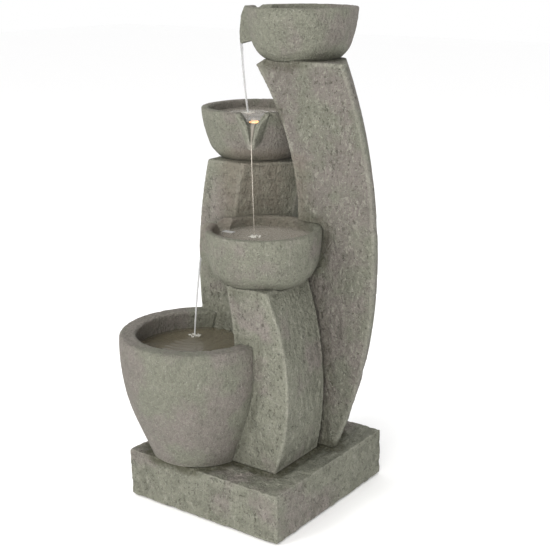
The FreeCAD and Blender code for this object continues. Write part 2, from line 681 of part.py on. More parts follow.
def make_pump():
    """Submersible pump: body, volute plate, impeller, shaft, bushes, cover and feet."""
    across = D["pump_shift"] - D["basin_across"]
    along, level = -D["basin_along"], D["pump_level"]
    long, wide, tall = D["pump_long"], D["pump_wide"], D["pump_tall"]
    face = across - long / 2
    axle = level + tall / 2

    def lying(item, start):
        """Lay an object that stands on the origin along +X from a given X."""
        return place(item, start, along, axle, turn=90, axis=VECTOR(0, 1, 0))

    motor = doc.addObject("Part::Fillet", "pump_block_rounded")
    motor.Base = place(block("pump_block", long, wide, tall), face, along - wide / 2, level)
    doc.recompute()
    motor.Edges = [(number, 4.0, 4.0) for number in range(1, 13)]
    chamber = lying(rod("chamber_wall", D["chamber_radius"], D["chamber_deep"] + 6),
                    face - D["chamber_deep"])
    chimney = place(rod("outlet_chimney", D["outlet_radius"] - 0.6,
                        D["chamber_radius"] + D["outlet_tall"]),
                    face - D["chamber_deep"] / 2, along, axle)
    fins = [motor, chamber, chimney]
    for number in range(5):
        fin = block(f"pump_fin_{number}", long - 12, wide + 2, 2)
        fins.append(place(fin, face + 6, along - wide / 2 - 1, level + 7 + 7 * number))
    room = lying(rod("chamber_room", D["chamber_radius"] - 2, D["chamber_deep"] + 1),
                 face - D["chamber_deep"] - 1)
    throat = place(rod("outlet_throat", D["outlet_radius"] - 2.6, 60),
                   face - D["chamber_deep"] / 2, along, axle)
    pocket = lying(rod("shaft_pocket", 4, 26), face - 1)
    entry = lying(rod("lead_entry", D["lead_radius"], 8), across + long / 2 - 6)
    keep("pump_body", cut("pump_cut", join("pump_blank", fins), [room, throat, pocket, entry]))

    shaft = lying(rod("shaft_rod", D["shaft_radius"], 34), face - 11)
    keep("impeller_shaft", shaft)
    bushes = [lying(tube("bush_inner", 3.9, D["shaft_radius"] + 0.02, 4), face + 18),
              lying(tube("bush_outer", 3.9, D["shaft_radius"] + 0.02, 4), face + 1)]
    keep("shaft_bushes", group("bushes", bushes))

    hub = lying(tube("rotor_hub", 5, D["shaft_radius"] + D["running_gap"], D["rotor_deep"]),
                face - D["rotor_deep"] - 1)
    vanes = [hub]
    for number in range(6):
        vane = block(f"vane_{number}", D["rotor_deep"] - 1, D["rotor_radius"] - 4, 1.2)
        angle = 60 * number
        root = FreeCAD.Rotation(VECTOR(1, 0, 0), angle).multVec(VECTOR(0, 4, -0.6))
        place(vane, face - D["rotor_deep"] - 0.5, along + root.y, axle + root.z, turn=angle,
              axis=VECTOR(1, 0, 0))
        vanes.append(vane)
    keep("impeller", join("rotor", vanes))

    plate = lying(tube("plate_ring", D["chamber_radius"] - 2.2, 5, 2), face - D["chamber_deep"] + 1)
    bridge = place(block("plate_bridge", 2, 12, 3), face - D["chamber_deep"] + 1, along - 6,
                   axle - 1.5)
    socket = lying(rod("plate_socket", D["shaft_radius"] + 0.02, 20), face - 14)
    keep("volute_plate", cut("plate_cut", join("plate", [plate, bridge]), [socket]))

    shell = block("cover_shell", D["cover_long"], wide, tall)
    start = face - D["cover_long"] - 0.4
    place(shell, start, along - wide / 2, level)
    inside = block("cover_inside", D["cover_long"], wide - 2 * D["cover_wall"],
                   tall - 2 * D["cover_wall"])
    place(inside, start + D["cover_wall"], along - wide / 2 + D["cover_wall"],
          level + D["cover_wall"])
    chute = place(block("cover_chute", D["cover_long"], 2 * D["outlet_radius"] + 1, 12),
                  face - D["chamber_deep"] / 2 - D["outlet_radius"] - 0.5,
                  along - D["outlet_radius"] - 0.5, level + tall - 6)
    slots = [inside, chute]
    for number in range(6):
        slot = block(f"cover_slot_{number}", 10, wide - 16, 2.2)
        slots.append(place(slot, start - 4, along - wide / 2 + 8, level + 6 + 6 * number))
    keep("pump_cover", cut("cover_cut", shell, slots))

    ring = tube("dial_ring", 7, 2.5, 2.2)
    keep("flow_regulator", lying(ring, start - 2.6))
    stud = lying(rod("dial_stud", 2.5 - D["running_gap"], 3), start - 3)
    cap = lying(rod("dial_cap", 3.6, 1), start - 4)
    keep("regulator_pin", join("dial_pin", [stud, cap]))

    cups = []
    for number, (x, y) in enumerate([(-1, -1), (1, -1), (1, 1), (-1, 1)]):
        cup = doc.addObject("Part::Cone", f"cup_{number}")
        cup.Radius1 = 8
        cup.Radius2 = 3
        floor = D["plinth_height"] + D["bond_gap"] + D["basin_wall"]
        cup.setExpression("Height", (level - floor - 0.1).text)
        cups.append(place(cup, across + x * 16, along + y * 14, floor + 0.05))
    keep("suction_feet", group("cups", cups))
    return face - D["chamber_deep"] / 2, along, axle + D["chamber_radius"]


# ---------------------------------------------------------------- lamps


def make_lamp(tag, across, along, stand, tall):
    """Submersible lamp: housing on a stem, gasket and domed lens."""
    radius = D["lamp_radius"]
    cup = tube(f"{tag}_cup", radius, D["lens_radius"] + 0.6, D["lamp_tall"] * 0.5)
    place(cup, across, along, stand + tall - D["lamp_tall"] * 0.5)
    base = rod(f"{tag}_lamp_base", radius, 5)
    place(base, across, along, stand + tall - D["lamp_tall"] * 0.5 - 4)
    stem = rod(f"{tag}_lamp_stem", 5, tall - D["lamp_tall"] * 0.5 - 2)
    place(stem, across, along, stand)
    disc = place(rod(f"{tag}_lamp_foot", 12, 3), across, along, stand)
    keep(f"{tag}_lamp_housing", join(f"{tag}_housing", [cup, base, stem, disc]))
    seal = tube(f"{tag}_seal", D["lens_radius"] + 0.5, D["lens_radius"] - 2, 1.5)
    keep(f"{tag}_lamp_gasket", place(seal, across, along, stand + tall - D["lamp_tall"] * 0.5 + 1.1))
    rise = D["lamp_tall"] * 0.5 - 2.8
    lens = turned(f"{tag}_lens_turn", [
        (0, 0), (D["lens_radius"], 0), (D["lens_radius"], rise, 1.6 * D["lens_radius"]),
        (2, rise + 3.6), (0, rise + 3.6)])
    keep(f"{tag}_lamp_lens", place(lens, across, along, stand + tall - D["lamp_tall"] * 0.5 + 2.7))


def make_water_works():
    """Hose, fittings, lamps and leads."""
    outlet_x, outlet_y, outlet_z = make_pump()
    start = (outlet_x.value, outlet_y.value, outlet_z.value + 6.5)
    top_floor = D["top_rim"] - D["top_depth"]
    end = (D["top_across"].value, D["top_along"].value, top_floor.value - 16)
    route = [start, (start[0], start[1], 215), (start[0] - 3, -62, 240), (-98, -22, 250),
             (-98, 58, 250), (-90, 84, 216), (-72, 94, 158), (-52, 97, 100), (-28, 98, 56),
             (24, 104, 46), (66, 110, 62), (88, 113, 112), (104, 114, 180), (128, 115, 270),
             (144, 116, 370), (150, 117, 470), (148, 118, 570), (134, 119, 660),
             (108, 120, 735), (66, 121, 795), (33, 121, 838), end]
    hose("riser_hose", route, D["hose_radius"], D["hose_bore"])

    nozzle = rod("nozzle_stem", D["hose_bore"] - 0.05, 40)
    place(nozzle, D["top_across"], D["top_along"], top_floor - 24)
    head = rod("nozzle_head", 13, 4)
    place(head, D["top_across"], D["top_along"], top_floor + D["bowl_floor"] + 1.5)
    neck = rod("nozzle_neck", D["outlet_radius"] + 1.8, 16)
    place(neck, D["top_across"], D["top_along"], top_floor - 0.5)
    spray = tube("nozzle_spray", 7.5, 4, 14)
    place(spray, D["top_across"], D["top_along"], top_floor + D["bowl_floor"] + 5)
    bore = rod("nozzle_bore", 4, 80)
    place(bore, D["top_across"], D["top_along"], top_floor - 30)
    keep("top_outlet", cut("outlet_cut", join("outlet_blank", [nozzle, head, neck, spray]), [bore]))
    washer = tube("outlet_washer_ring", 13, 9, 1.3)
    keep("outlet_washer", place(washer, D["top_across"], D["top_along"],
                                top_floor + D["bowl_floor"] + 0.1))

    def clamp(name, spot, turn, axis):
        """Worm clamp round the hose."""
        band = tube(f"{name}_band", D["hose_radius"] + 1.2, D["hose_radius"] + 0.05, 7)
        lug = block(f"{name}_lug", 8, 6, 7)
        place(lug, -4, D["hose_radius"] + 0.8, 0)
        item = join(name, [band, lug])
        return place(item, *spot, turn=turn, axis=axis)

    clamps = [clamp("clamp_low", (start[0], start[1], start[2] + 5), 0, VECTOR(0, 0, 1)),
              clamp("clamp_high", (end[0], end[1], end[2] - 13), 0, VECTOR(0, 0, 1))]
    keep("hose_clamps", group("clamps", clamps))

    def wall_bush(name, spot, outer, inner):
        """Flanged rubber bush in the left column's front wall."""
        sleeve = tube(f"{name}_sleeve", outer, inner, D["stone_wall"] + 4)
        place(sleeve, spot[0], D["left_front"] - 3, spot[2], turn=-90, axis=VECTOR(1, 0, 0))
        rim = tube(f"{name}_rim", outer + 4, inner, 2.6)
        place(rim, spot[0], D["left_front"] - 3, spot[2], turn=-90, axis=VECTOR(1, 0, 0))
        return join(name, [sleeve, rim])

    keep("hose_bush", wall_bush("hose_gland", HOSE_WALL, D["hose_radius"] + 2.9,
                                D["hose_radius"] + 0.3))
    keep("lead_bush", wall_bush("lead_gland", LEAD_WALL, D["lead_radius"] + 2.4,
                                D["lead_radius"] + 0.3))

    second_floor = D["second_rim"] - D["second_depth"] + D["bowl_floor"]
    make_lamp("second", *LAMP_SECOND, second_floor, D["second_depth"] - D["bowl_floor"] - 30)
    basin_floor = D["plinth_height"] + D["bond_gap"] + D["basin_wall"]
    make_lamp("basin", *LAMP_BASIN, basin_floor, 165)

    box_at = (-120, 60)
    splitter = doc.addObject("Part::Fillet", "splitter_rounded")
    splitter.Base = place(block("splitter_block", 46, 60, 26), box_at[0] - 23, box_at[1] - 30, 20)
    doc.recompute()
    splitter.Edges = [(number, 3.0, 3.0) for number in range(1, 13)]
    stand = place(block("splitter_stand", 30, 40, 18), box_at[0] - 15, box_at[1] - 20, 8)
    keep("lead_splitter", join("splitter", [splitter, stand]))
    pump_end = (D["pump_long"] / 2 + D["pump_shift"] - D["basin_across"]).value - 2
    axle = D["pump_level"].value + D["pump_tall"].value / 2
    hose("pump_lead", [(pump_end, start[1], axle), (-2, start[1], axle), (6, start[1] + 20, 172),
                       (2, -62, 206), (-16, -42, 236), (-42, -30, 250), (-70, -8, 250),
                       (-70, 48, 250), (-76, 66, 216), (-68, 74, 160), (-58, 76, 106),
                       (-62, 72, 62), (-78, 66, 36), (-97, 66, 36)], D["lead_radius"])
    lamp_foot = second_floor.value - 0.05
    hose("second_lamp_lead", [(*LAMP_SECOND, lamp_foot), (*LAMP_SECOND, 650), (-70, 82, 590),
                              (-96, 96, 500), (-116, 124, 400), (-112, 130, 290),
                              (-92, 126, 200), (-68, 113, 120), (-62, 108, 80),
                              (-66, 94, 50), (-80, 82, 34), (-97, 82, 34)], D["lead_radius"])
    seal = tube("lamp_gland_ring", 4.95, D["lead_radius"] + 0.05, D["bowl_floor"] - 0.4)
    place(seal, *LAMP_SECOND, second_floor - D["bowl_floor"] + 0.2)
    keep("lamp_gland", seal)
    x, y = LAMP_BASIN
    pump_top = D["pump_level"].value + D["pump_tall"].value
    hose("basin_lamp_lead", [(x, y + 5.1, 185), (x + 0.5, y + 16, 186), (x + 8, y + 33, 196),
                             (x + 20, y + 48, 194), (x + 26, y + 54, 184),
                             (x + 26, y + 54, pump_top + 0.05)], D["lead_radius"])


def check_and_write():
    """Recompute, test every object and write each sub-part."""
    doc.recompute()
    for item in doc.Objects:
        if "Invalid" in item.State or "Error" in item.State:
            raise RuntimeError(f"{item.Name} failed: {item.State}")
    os.makedirs("parts", exist_ok=True)
    for label, item in NODES.items():
        shape = item.Shape
        if shape.isNull() or not shape.isValid():
            raise RuntimeError(f"{label} has no valid shape")
        print(f"{label}: {len(shape.Solids)} solid(s), {shape.Volume / 1000:.1f} cm3")
    for label, item in NODES.items():
        item.Shape.exportStep(f"parts/{label}.step")


make_stone()
make_plinth()
make_door()
make_water_works()
check_and_write()
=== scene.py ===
import json
import math

import bmesh
import bpy
import numpy as np
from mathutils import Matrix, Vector
from mathutils.bvhtree import BVHTree
from mathutils.kdtree import KDTree


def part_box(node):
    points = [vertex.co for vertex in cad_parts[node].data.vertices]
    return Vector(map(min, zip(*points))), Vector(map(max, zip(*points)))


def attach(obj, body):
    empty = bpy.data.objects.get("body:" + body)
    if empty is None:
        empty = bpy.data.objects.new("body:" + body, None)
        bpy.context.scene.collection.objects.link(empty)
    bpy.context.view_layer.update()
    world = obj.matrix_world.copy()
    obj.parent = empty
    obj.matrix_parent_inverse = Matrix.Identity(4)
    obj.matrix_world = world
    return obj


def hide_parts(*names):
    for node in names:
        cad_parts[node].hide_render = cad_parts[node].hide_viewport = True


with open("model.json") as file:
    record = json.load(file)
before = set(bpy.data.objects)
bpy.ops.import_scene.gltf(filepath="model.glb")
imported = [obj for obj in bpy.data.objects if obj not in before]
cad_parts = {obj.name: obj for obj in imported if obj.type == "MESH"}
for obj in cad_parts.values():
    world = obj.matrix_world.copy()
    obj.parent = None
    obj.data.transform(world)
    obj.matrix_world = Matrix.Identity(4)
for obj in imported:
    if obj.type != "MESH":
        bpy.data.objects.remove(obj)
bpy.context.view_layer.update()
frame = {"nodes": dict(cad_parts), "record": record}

# A four-tier garden fountain in cast stone. Lengths are in metres, and places are
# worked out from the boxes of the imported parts.

MM = 0.001
HOME = "fountain"
DOWN = Vector((0, 0, -1))


# ---------------------------------------------------------------- places

class Bowl:
    """Rim centre, rim height, radius and spout heading of one bowl."""

    def __init__(self, node, radius, heading=0, drop=0, reach=0):
        low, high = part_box(node)
        turn = math.radians(heading)
        self.node = node
        self.radius = radius
        self.ahead = Vector((math.cos(turn), math.sin(turn), 0))
        self.side = Vector((-self.ahead.y, self.ahead.x, 0))
        self.rim = high.z
        self.drop = drop
        self.reach = reach
        # The beak sticks out on one side, so the centre is a radius in from the other.
        across = high.x - radius if self.ahead.x < 0 else low.x + radius
        along = high.y - radius if self.ahead.y < -0.1 else low.y + radius
        self.centre = Vector((across, along, 0))


# Radius, spout heading in degrees, drop from rim to tip, and reach from centre to tip
TOP = Bowl("top_bowl", 113 * MM, 180, 81 * MM, 153 * MM)
THIRD = Bowl("third_bowl", 115 * MM, 180, 87 * MM, 160 * MM)
SECOND = Bowl("second_bowl", 117.5 * MM, -58, 69.5 * MM, 150 * MM)
BASIN = Bowl("basin", 156 * MM)

STONE_NODES = ["rear_column", "left_column", "front_column", "top_bowl", "second_bowl",
               "third_bowl", "basin", "base_plinth"]


def search_tree(nodes):
    """One search tree of the faces of CAD nodes."""
    spots, faces = [], []
    for node in nodes:
        mesh = frame["nodes"][node].data
        start = len(spots)
        spots += [vertex.co.copy() for vertex in mesh.vertices]
        faces += [[start + index for index in face.vertices] for face in mesh.polygons]
    return BVHTree.FromPolygons(spots, faces)


# ---------------------------------------------------------------- noise

def corner_value(cell, seed):
    """Repeatable value from -1 to 1 for whole-number cells, by a hash."""
    mixed = (cell[:, 0] * 73856093) ^ (cell[:, 1] * 19349663) ^ (cell[:, 2] * 83492791)
    mixed = (mixed ^ (seed * 2654435761)) & 0xFFFFFFFF
    mixed = ((mixed ^ (mixed >> 15)) * 2246822519) & 0xFFFFFFFF
    mixed = ((mixed ^ (mixed >> 13)) * 3266489917) & 0xFFFFFFFF
    return (mixed ^ (mixed >> 16)).astype(np.float64) / 0x7FFFFFFF - 1


def noise(points, scale, seed):
    """Smooth noise from -1 to 1 at points multiplied by scale, features per metre."""
    spots = points * np.asarray(scale, dtype=np.float64)
    base = np.floor(spots).astype(np.int64)
    part = spots - base
    part = part * part * part * (part * (part * 6 - 15) + 10)
    total = np.zeros(len(spots))
    for corner in range(8):
        offset = np.array([corner & 1, (corner >> 1) & 1, corner >> 2])
        weight = np.prod(np.where(offset == 1, part, 1 - part), axis=1)
        total += weight * corner_value(base + offset, seed)
    return total


def ramp(values, low, high):
    """Smooth step from 0 at low to 1 at high."""
    part = np.clip((values - low) / (high - low), 0, 1)
    return part * part * (3 - 2 * part)


# ---------------------------------------------------------------- stone relief

def column_relief(points, seed):
    """Depth of tooling: upright gouges, with short level scratches here and there."""
    drift = np.column_stack([noise(points, 18, seed + axis) for axis in range(3)]) * 10 * MM
    bent = points + drift
    upright = ramp(noise(bent, (85, 85, 24), seed + 3), 0.0, 0.6)
    fine = ramp(noise(bent, (165, 165, 70), seed + 4), -0.1, 0.6)
    level = ramp(noise(bent, (60, 60, 190), seed + 5), 0.15, 0.7)
    where = ramp(noise(points, 9, seed + 6), -0.2, 0.4)
    waves = 0.5 + 0.5 * noise(points, 24, seed + 7)
    return (1.7 * upright * (1 - 0.7 * where) + 1.1 * fine + 1.3 * level * where
            + 0.9 * waves) * MM


def bowl_relief(points, seed):
    """Depth of a smoother casting: faint waves, sandy lumps and scattered pits."""
    waves = 0.5 + 0.5 * noise(points, 26, seed)
    lumps = ramp(noise(points, 120, seed + 1), -0.3, 0.6)
    pits = ramp(noise(points, 150, seed + 2), 0.5, 0.8)
    return (0.6 * waves + 0.5 * lumps + 0.8 * pits) * MM


def plinth_relief(points, seed):
    """Depth of the plinth's uneven faces."""
    waves = 0.5 + 0.5 * noise(points, 24, seed)
    lumps = ramp(noise(points, 70, seed + 1), -0.2, 0.4)
    pits = ramp(noise(points, 135, seed + 2), 0.0, 0.5)
    return (1.6 * waves + 1.8 * lumps + 1.1 * pits) * MM


def arris_tree(mesh, least=math.radians(35), step=2.5 * MM):
    """Search tree of points along a CAD mesh's sharp edges, least being their least turn."""
    shape = bmesh.new()
    shape.from_mesh(mesh)
    bmesh.ops.remove_doubles(shape, verts=shape.verts, dist=1e-6)
    spots = []
    for edge in shape.edges:
        if len(edge.link_faces) == 2 and edge.calc_face_angle(0) > least:
            first, last = edge.verts[0].co, edge.verts[1].co
            count = max(1, int((last - first).length / step))
            spots += [first.lerp(last, number / count) for number in range(count + 1)]
    shape.free()
    tree = KDTree(len(spots))
    for number, spot in enumerate(spots):
        tree.insert(spot, number)
    tree.balance()
    return tree


def vectors(rows, key):
    """Three numbers of every row as an array."""
    values = np.empty(len(rows) * 3)
    rows.foreach_get(key, values)
    return values.reshape(-1, 3)


def baked(piece):
    """Mesh of an object with its modifiers applied."""
    graph = bpy.context.evaluated_depsgraph_get()
    return bpy.data.meshes.new_from_object(piece.evaluated_get(graph))


def nearness(node, spots, reach=50 * MM):
    """How near each spot lies to the other stone pieces: 1 touching, 0 beyond the reach."""
    tree = search_tree([other for other in STONE_NODES if other != node])
    found = [tree.find_nearest(Vector(spot), reach)[3] for spot in spots]
    away = np.array([reach if distance is None else distance for distance in found])
    return 1 - ramp(away, 0, reach)


def below_second_spout(spots):
    """Painted shade under the second bowl, beside its spout and above the third pool, from 0
    to 1.
    """
    drip = SECOND.centre + SECOND.ahead * SECOND.reach
    beside = np.hypot(spots[:, 0] - drip.x, spots[:, 1] - drip.y)
    below = ramp(SECOND.rim - spots[:, 2], 60 * MM, 90 * MM)
    above_pool = spots[:, 2] > THIRD.rim - 40 * MM
    return (1 - ramp(beside, 60 * MM, 150 * MM)) * below * above_pool


def weathered(node, relief, voxel, rounds, strip, seed, keep):
    """Worn casting that stands for a CAD stone node: rounded edges and tooled faces.

    The relief fades to the share keep within the strip along the edges, and the CAD shape
    is held where another stone piece is bonded on.
    """
    source = frame["nodes"][node]
    piece = bpy.data.objects.new(f"{node}_stone", source.data.copy())
    bpy.context.scene.collection.objects.link(piece)
    remesh = piece.modifiers.new("cells", "REMESH")
    remesh.mode = "VOXEL"
    remesh.voxel_size = voxel
    crisp = baked(piece)
    soften = piece.modifiers.new("wear", "SMOOTH")
    soften.factor = 0.5
    soften.iterations = rounds
    mesh = baked(piece)
    piece.modifiers.clear()
    piece.data = mesh
    mesh.name = piece.name

    spots = vectors(mesh.vertices, "co")
    away = vectors(mesh.vertex_normals, "vector")
    near_others = nearness(node, spots)
    held = ramp(near_others, 0.96, 0.995)
    spots += (vectors(crisp.vertices, "co") - spots) * held[:, None]
    tree = arris_tree(source.data)
    near = np.array([tree.find(spot)[2] for spot in spots])
    plain = ramp(near, 0.35 * strip, strip)
    depth = relief(spots, seed) * (keep + (1 - keep) * plain) * (1 - held)
    spots -= away * depth[:, None]
    mesh.vertices.foreach_set("co", spots.ravel())
    # Marks for the material: edges, relief depth, and two masks of painted shade, under the
    # second bowl and near the other pieces.
    marks = (("arris", 1 - plain), ("depth", depth / MM),
             ("under_bowl_shade", below_second_spout(spots)), ("contact_shade", near_others))
    for key, values in marks:
        mesh.attributes.new(key, "FLOAT", "POINT").data.foreach_set("value", values)
    mesh.polygons.foreach_set("use_smooth", [True] * len(mesh.polygons))
    mesh.update()
    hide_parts(node)
    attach(piece, HOME)
    return piece


# ---------------------------------------------------------------- materials

class Nodes:
    """Short hand for building a material's nodes."""

    def __init__(self, name):
        self.material = bpy.data.materials.new(name)
        self.material.use_nodes = True
        self.tree = self.material.node_tree
        self.shader = self.tree.nodes["Principled BSDF"]
        self.place = self.add("ShaderNodeTexCoord").outputs["Object"]

    def add(self, kind, **settings):
        """New node with its settings."""
        node = self.tree.nodes.new(kind)
        for key, value in settings.items():
            setattr(node, key, value)
        return node

    def link(self, source, target):
        """Link two sockets."""
        self.tree.links.new(source, target)

    def noise(self, scale, detail=3.0, rough=0.6, stretch=None, twist=0.0):
        """Noise value at the object's own coordinates."""
        node = self.add("ShaderNodeTexNoise")
        node.inputs["Scale"].default_value = scale
        node.inputs["Detail"].default_value = detail
        node.inputs["Roughness"].default_value = rough
        node.inputs["Distortion"].default_value = twist
        spot = self.place
        if stretch:
            mapping = self.add("ShaderNodeMapping")
            mapping.inputs["Scale"].default_value = stretch
            self.link(self.place, mapping.inputs["Vector"])
            spot = mapping.outputs["Vector"]
        self.link(spot, node.inputs["Vector"])
        return node.outputs["Fac"]

    def range(self, value, low, high, new_low=0.0, new_high=1.0):
        """Value mapped from one range to another, held at the ends."""
        node = self.add("ShaderNodeMapRange", interpolation_type="SMOOTHSTEP")
        for key, number in (("From Min", low), ("From Max", high),
                            ("To Min", new_low), ("To Max", new_high)):
            node.inputs[key].default_value = number
        self.link(value, node.inputs["Value"])
        return node.outputs["Result"]

    def math(self, kind, first, second):
        """Arithmetic on two values, each a socket or a number."""
        node = self.add("ShaderNodeMath", operation=kind)
        for socket, value in zip(node.inputs, (first, second)):
            if isinstance(value, (int, float)):
                socket.default_value = value
            else:
                self.link(value, socket)
        return node.outputs["Value"]

    def mix(self, part, first, second, blend="MIX"):
        """Colour mixed by a part; colours are sockets or (r, g, b)."""
        node = self.add("ShaderNodeMix", data_type="RGBA", blend_type=blend)
        if isinstance(part, (int, float)):
            node.inputs["Factor"].default_value = part
        else:
            self.link(part, node.inputs["Factor"])
        for socket, value in ((node.inputs[6], first), (node.inputs[7], second)):
            if isinstance(value, tuple):
                socket.default_value = (*value, 1)
            else:
                self.link(value, socket)
        return node.outputs[2]

    def spots(self, scale, size, share):
        """Round spots: 1 inside a spot, on a share of the cells."""
        cells = self.add("ShaderNodeTexVoronoi", feature="F1")
        cells.inputs["Scale"].default_value = scale
        self.link(self.place, cells.inputs["Vector"])
        split = self.add("ShaderNodeSeparateColor")
        self.link(cells.outputs["Color"], split.inputs["Color"])
        chosen = self.range(split.outputs["Red"], 1 - share - 0.02, 1 - share + 0.02)
        inside = self.range(cells.outputs["Distance"], 0.55 * size, size, 1.0, 0.0)
        return self.math("MULTIPLY", chosen, inside)

    def attribute(self, name):
        """Value stored on the mesh."""
        return self.add("ShaderNodeAttribute", attribute_name=name).outputs["Fac"]

    def bump(self, height, strength, distance):
        """Bump from a height value into the shader's normal."""
        node = self.add("ShaderNodeBump")
        node.inputs["Strength"].default_value = strength
        node.inputs["Distance"].default_value = distance
        self.link(height, node.inputs["Height"])
        self.link(node.outputs["Normal"], self.shader.inputs["Normal"])

    def set(self, **values):
        """Constant values on the shader's own sockets; underscores stand for spaces."""
        for key, value in values.items():
            self.shader.inputs[key.replace("_", " ")].default_value = value
        return self.material


# The stone's two ground colours, its worn edges with their painted highlight, pits and painted
# shade in hollows, moss with painted shade at the joints, and painted shade under the second
# bowl
GREEN_GREY = (0.232, 0.236, 0.188)
PINK_GREY = (0.248, 0.224, 0.203)
PALE = (0.370, 0.368, 0.310)
DARK = (0.062, 0.060, 0.044)
MOSS_AND_SHADE = (0.070, 0.068, 0.042)
SHADE_BROWN = (0.205, 0.172, 0.138)
QUARTZ = (0.50, 0.50, 0.46)


def stone(name, tooled, pits, green, grit, joint_shade, light):
    """Cast stone: warm green-grey with pinkish clouds, sandy grain, pits and worn edges.

    tooled and grit are how marked the faces are, pits the share of cells with a hole, green
    where the clouds change colour, the sixth how dark the moss-coloured painted shade at the
    joints is, and light the brightness. The worn edges also get a painted highlight, and the
    hollows, the joints and the stone under the second bowl get painted shade.
    """
    make = Nodes(name)
    clouds = make.range(make.noise(8, 3, 0.6), green - 0.07, green + 0.07)
    colour = make.mix(clouds, tuple(light * part for part in GREEN_GREY),
                      tuple(light * part for part in PINK_GREY))
    blotch = make.range(make.noise(26, 4, 0.65), 0.36, 0.64, 0.0, 0.30)
    colour = make.mix(blotch, colour, tuple(0.65 * part for part in GREEN_GREY))
    lumps = make.range(make.noise(170, 3, 0.6), 0.36, 0.64)
    marks = make.range(make.noise(140, 3, 0.6, (1, 1, 0.55)), 0.36, 0.64)
    sand = make.range(make.noise(430, 2, 0.7), 0.34, 0.66)
    rise = make.math("ADD", make.math("MULTIPLY", lumps, 0.45),
                     make.math("MULTIPLY", marks, tooled))
    pitted = make.range(make.noise(165, 3, 0.62, (1, 1, 0.7), 0.8),
                        0.32, 0.42, 0.66 * grit, 0.0)
    ridged = make.range(make.noise(110, 3, 0.6, (1, 1, 0.6), 1.4),
                        0.55, 0.64, 0.0, 0.55 * grit)
    colour = make.mix(ridged, colour, PALE)
    colour = make.mix(pitted, colour, DARK)
    # Painted shade: low bumps and the deeper hollows of the relief are darkened as if in
    # shade.
    colour = make.mix(make.range(rise, 0.05, 0.45, 0.16, 0.0), colour, DARK)
    hollow = make.range(make.attribute("depth"), 1.0, 3.8, 0.0, 0.26)
    colour = make.mix(hollow, colour, DARK)
    # Edges made paler: partly real wear, partly a painted highlight where the edges catch
    # light.
    worn_and_highlight = make.range(make.attribute("arris"), 0.35, 0.95, 0.0, 0.34)
    colour = make.mix(worn_and_highlight, colour, PALE)
    colour = make.mix(make.range(sand, 0.0, 0.5, 0.20, 0.0), colour, DARK)
    colour = make.mix(make.range(sand, 0.6, 1.0, 0.0, 0.18), colour, PALE)
    specks = make.spots(300, 0.30, 0.10)
    colour = make.mix(make.math("MULTIPLY", specks, 0.5), colour, QUARTZ)
    holes = make.spots(170, 0.24, pits)
    colour = make.mix(make.math("MULTIPLY", holes, 0.55), colour, DARK)
    # Painted shade: moss colour darkens the stone near the other pieces, where contact shade
    # falls.
    contact_shade = make.range(make.attribute("contact_shade"), 0.5, 1.0, 0.0, joint_shade)
    patchy = make.range(make.noise(50, 4, 0.7), 0.25, 0.6, 0.45, 1.0)
    # Painted shade: a brown wash under the second bowl, beside its spout, where its shade
    # falls.
    under_bowl_shade = make.range(make.attribute("under_bowl_shade"), 0.1, 0.9, 0.0, 0.6)
    colour = make.mix(make.math("MULTIPLY", under_bowl_shade, patchy), colour, SHADE_BROWN)
    colour = make.mix(make.math("MULTIPLY", contact_shade, patchy), colour, MOSS_AND_SHADE)
    make.link(colour, make.shader.inputs["Base Color"])
    height = make.math("ADD", rise, make.math("MULTIPLY", sand, 0.45))
    height = make.math("SUBTRACT", height, make.math("ADD", holes, pitted))
    make.bump(height, 1.0, 4.0 * MM)
    make.link(make.range(sand, 0.0, 1.0, 0.80, 0.95), make.shader.inputs["Roughness"])
    return make.set(Specular_IOR_Level=0.22)


def moulded(name, colour, rough, grain=900, lift=0.12):
    """Moulded plastic or rubber: fine texture and slight mottling."""
    make = Nodes(name)
    cloud = make.range(make.noise(60, 3), 0.3, 0.7, 0.0, 0.35)
    pale = tuple(min(1.0, part * 1.35 + 0.004) for part in colour)
    make.link(make.mix(cloud, colour, pale), make.shader.inputs["Base Color"])
    texture = make.noise(grain, 2)
    make.bump(texture, lift, 0.2 * MM)
    make.link(make.range(texture, 0.3, 0.7, rough - 0.06, rough + 0.06),
              make.shader.inputs["Roughness"])
    return make.material


def metal(name, colour, rough, stretch):
    """Bare metal with drawn or turned marks."""
    make = Nodes(name)
    marks = make.noise(260, 3, 0.6, stretch)
    dark = tuple(part * 0.72 for part in colour)
    make.link(make.mix(make.range(marks, 0.3, 0.7), dark, colour),
              make.shader.inputs["Base Color"])
    make.link(make.range(marks, 0.3, 0.7, rough - 0.08, rough + 0.1),
              make.shader.inputs["Roughness"])
    make.bump(marks, 0.1, 0.1 * MM)
    return make.set(Metallic=1.0)


def glowing_lens(name):
    """Warm lamp behind a ribbed lens."""
    make = Nodes(name)
    warm = make.mix(make.range(make.noise(240, 2), 0.35, 0.65),
                    (1.0, 0.33, 0.06), (1.0, 0.62, 0.25))
    make.link(warm, make.shader.inputs["Base Color"])
    make.link(warm, make.shader.inputs["Emission Color"])
    return make.set(Emission_Strength=6.0, Roughness=0.2)


def water(name, tint, alpha, rough):
    """Clear water: a thin tinted surface that lets light through and reflects."""
    make = Nodes(name)
    cloud = make.range(make.noise(30, 2), 0.25, 0.75, alpha - 0.05, alpha + 0.05)
    make.link(cloud, make.shader.inputs["Alpha"])
    pale = tuple(min(1.0, part * 1.1) for part in tint)
    make.link(make.mix(make.range(make.noise(40, 2), 0.3, 0.7), tint, pale),
              make.shader.inputs["Base Color"])
    return make.set(Roughness=rough, IOR=1.33, Specular_IOR_Level=0.9)


# ---------------------------------------------------------------- water

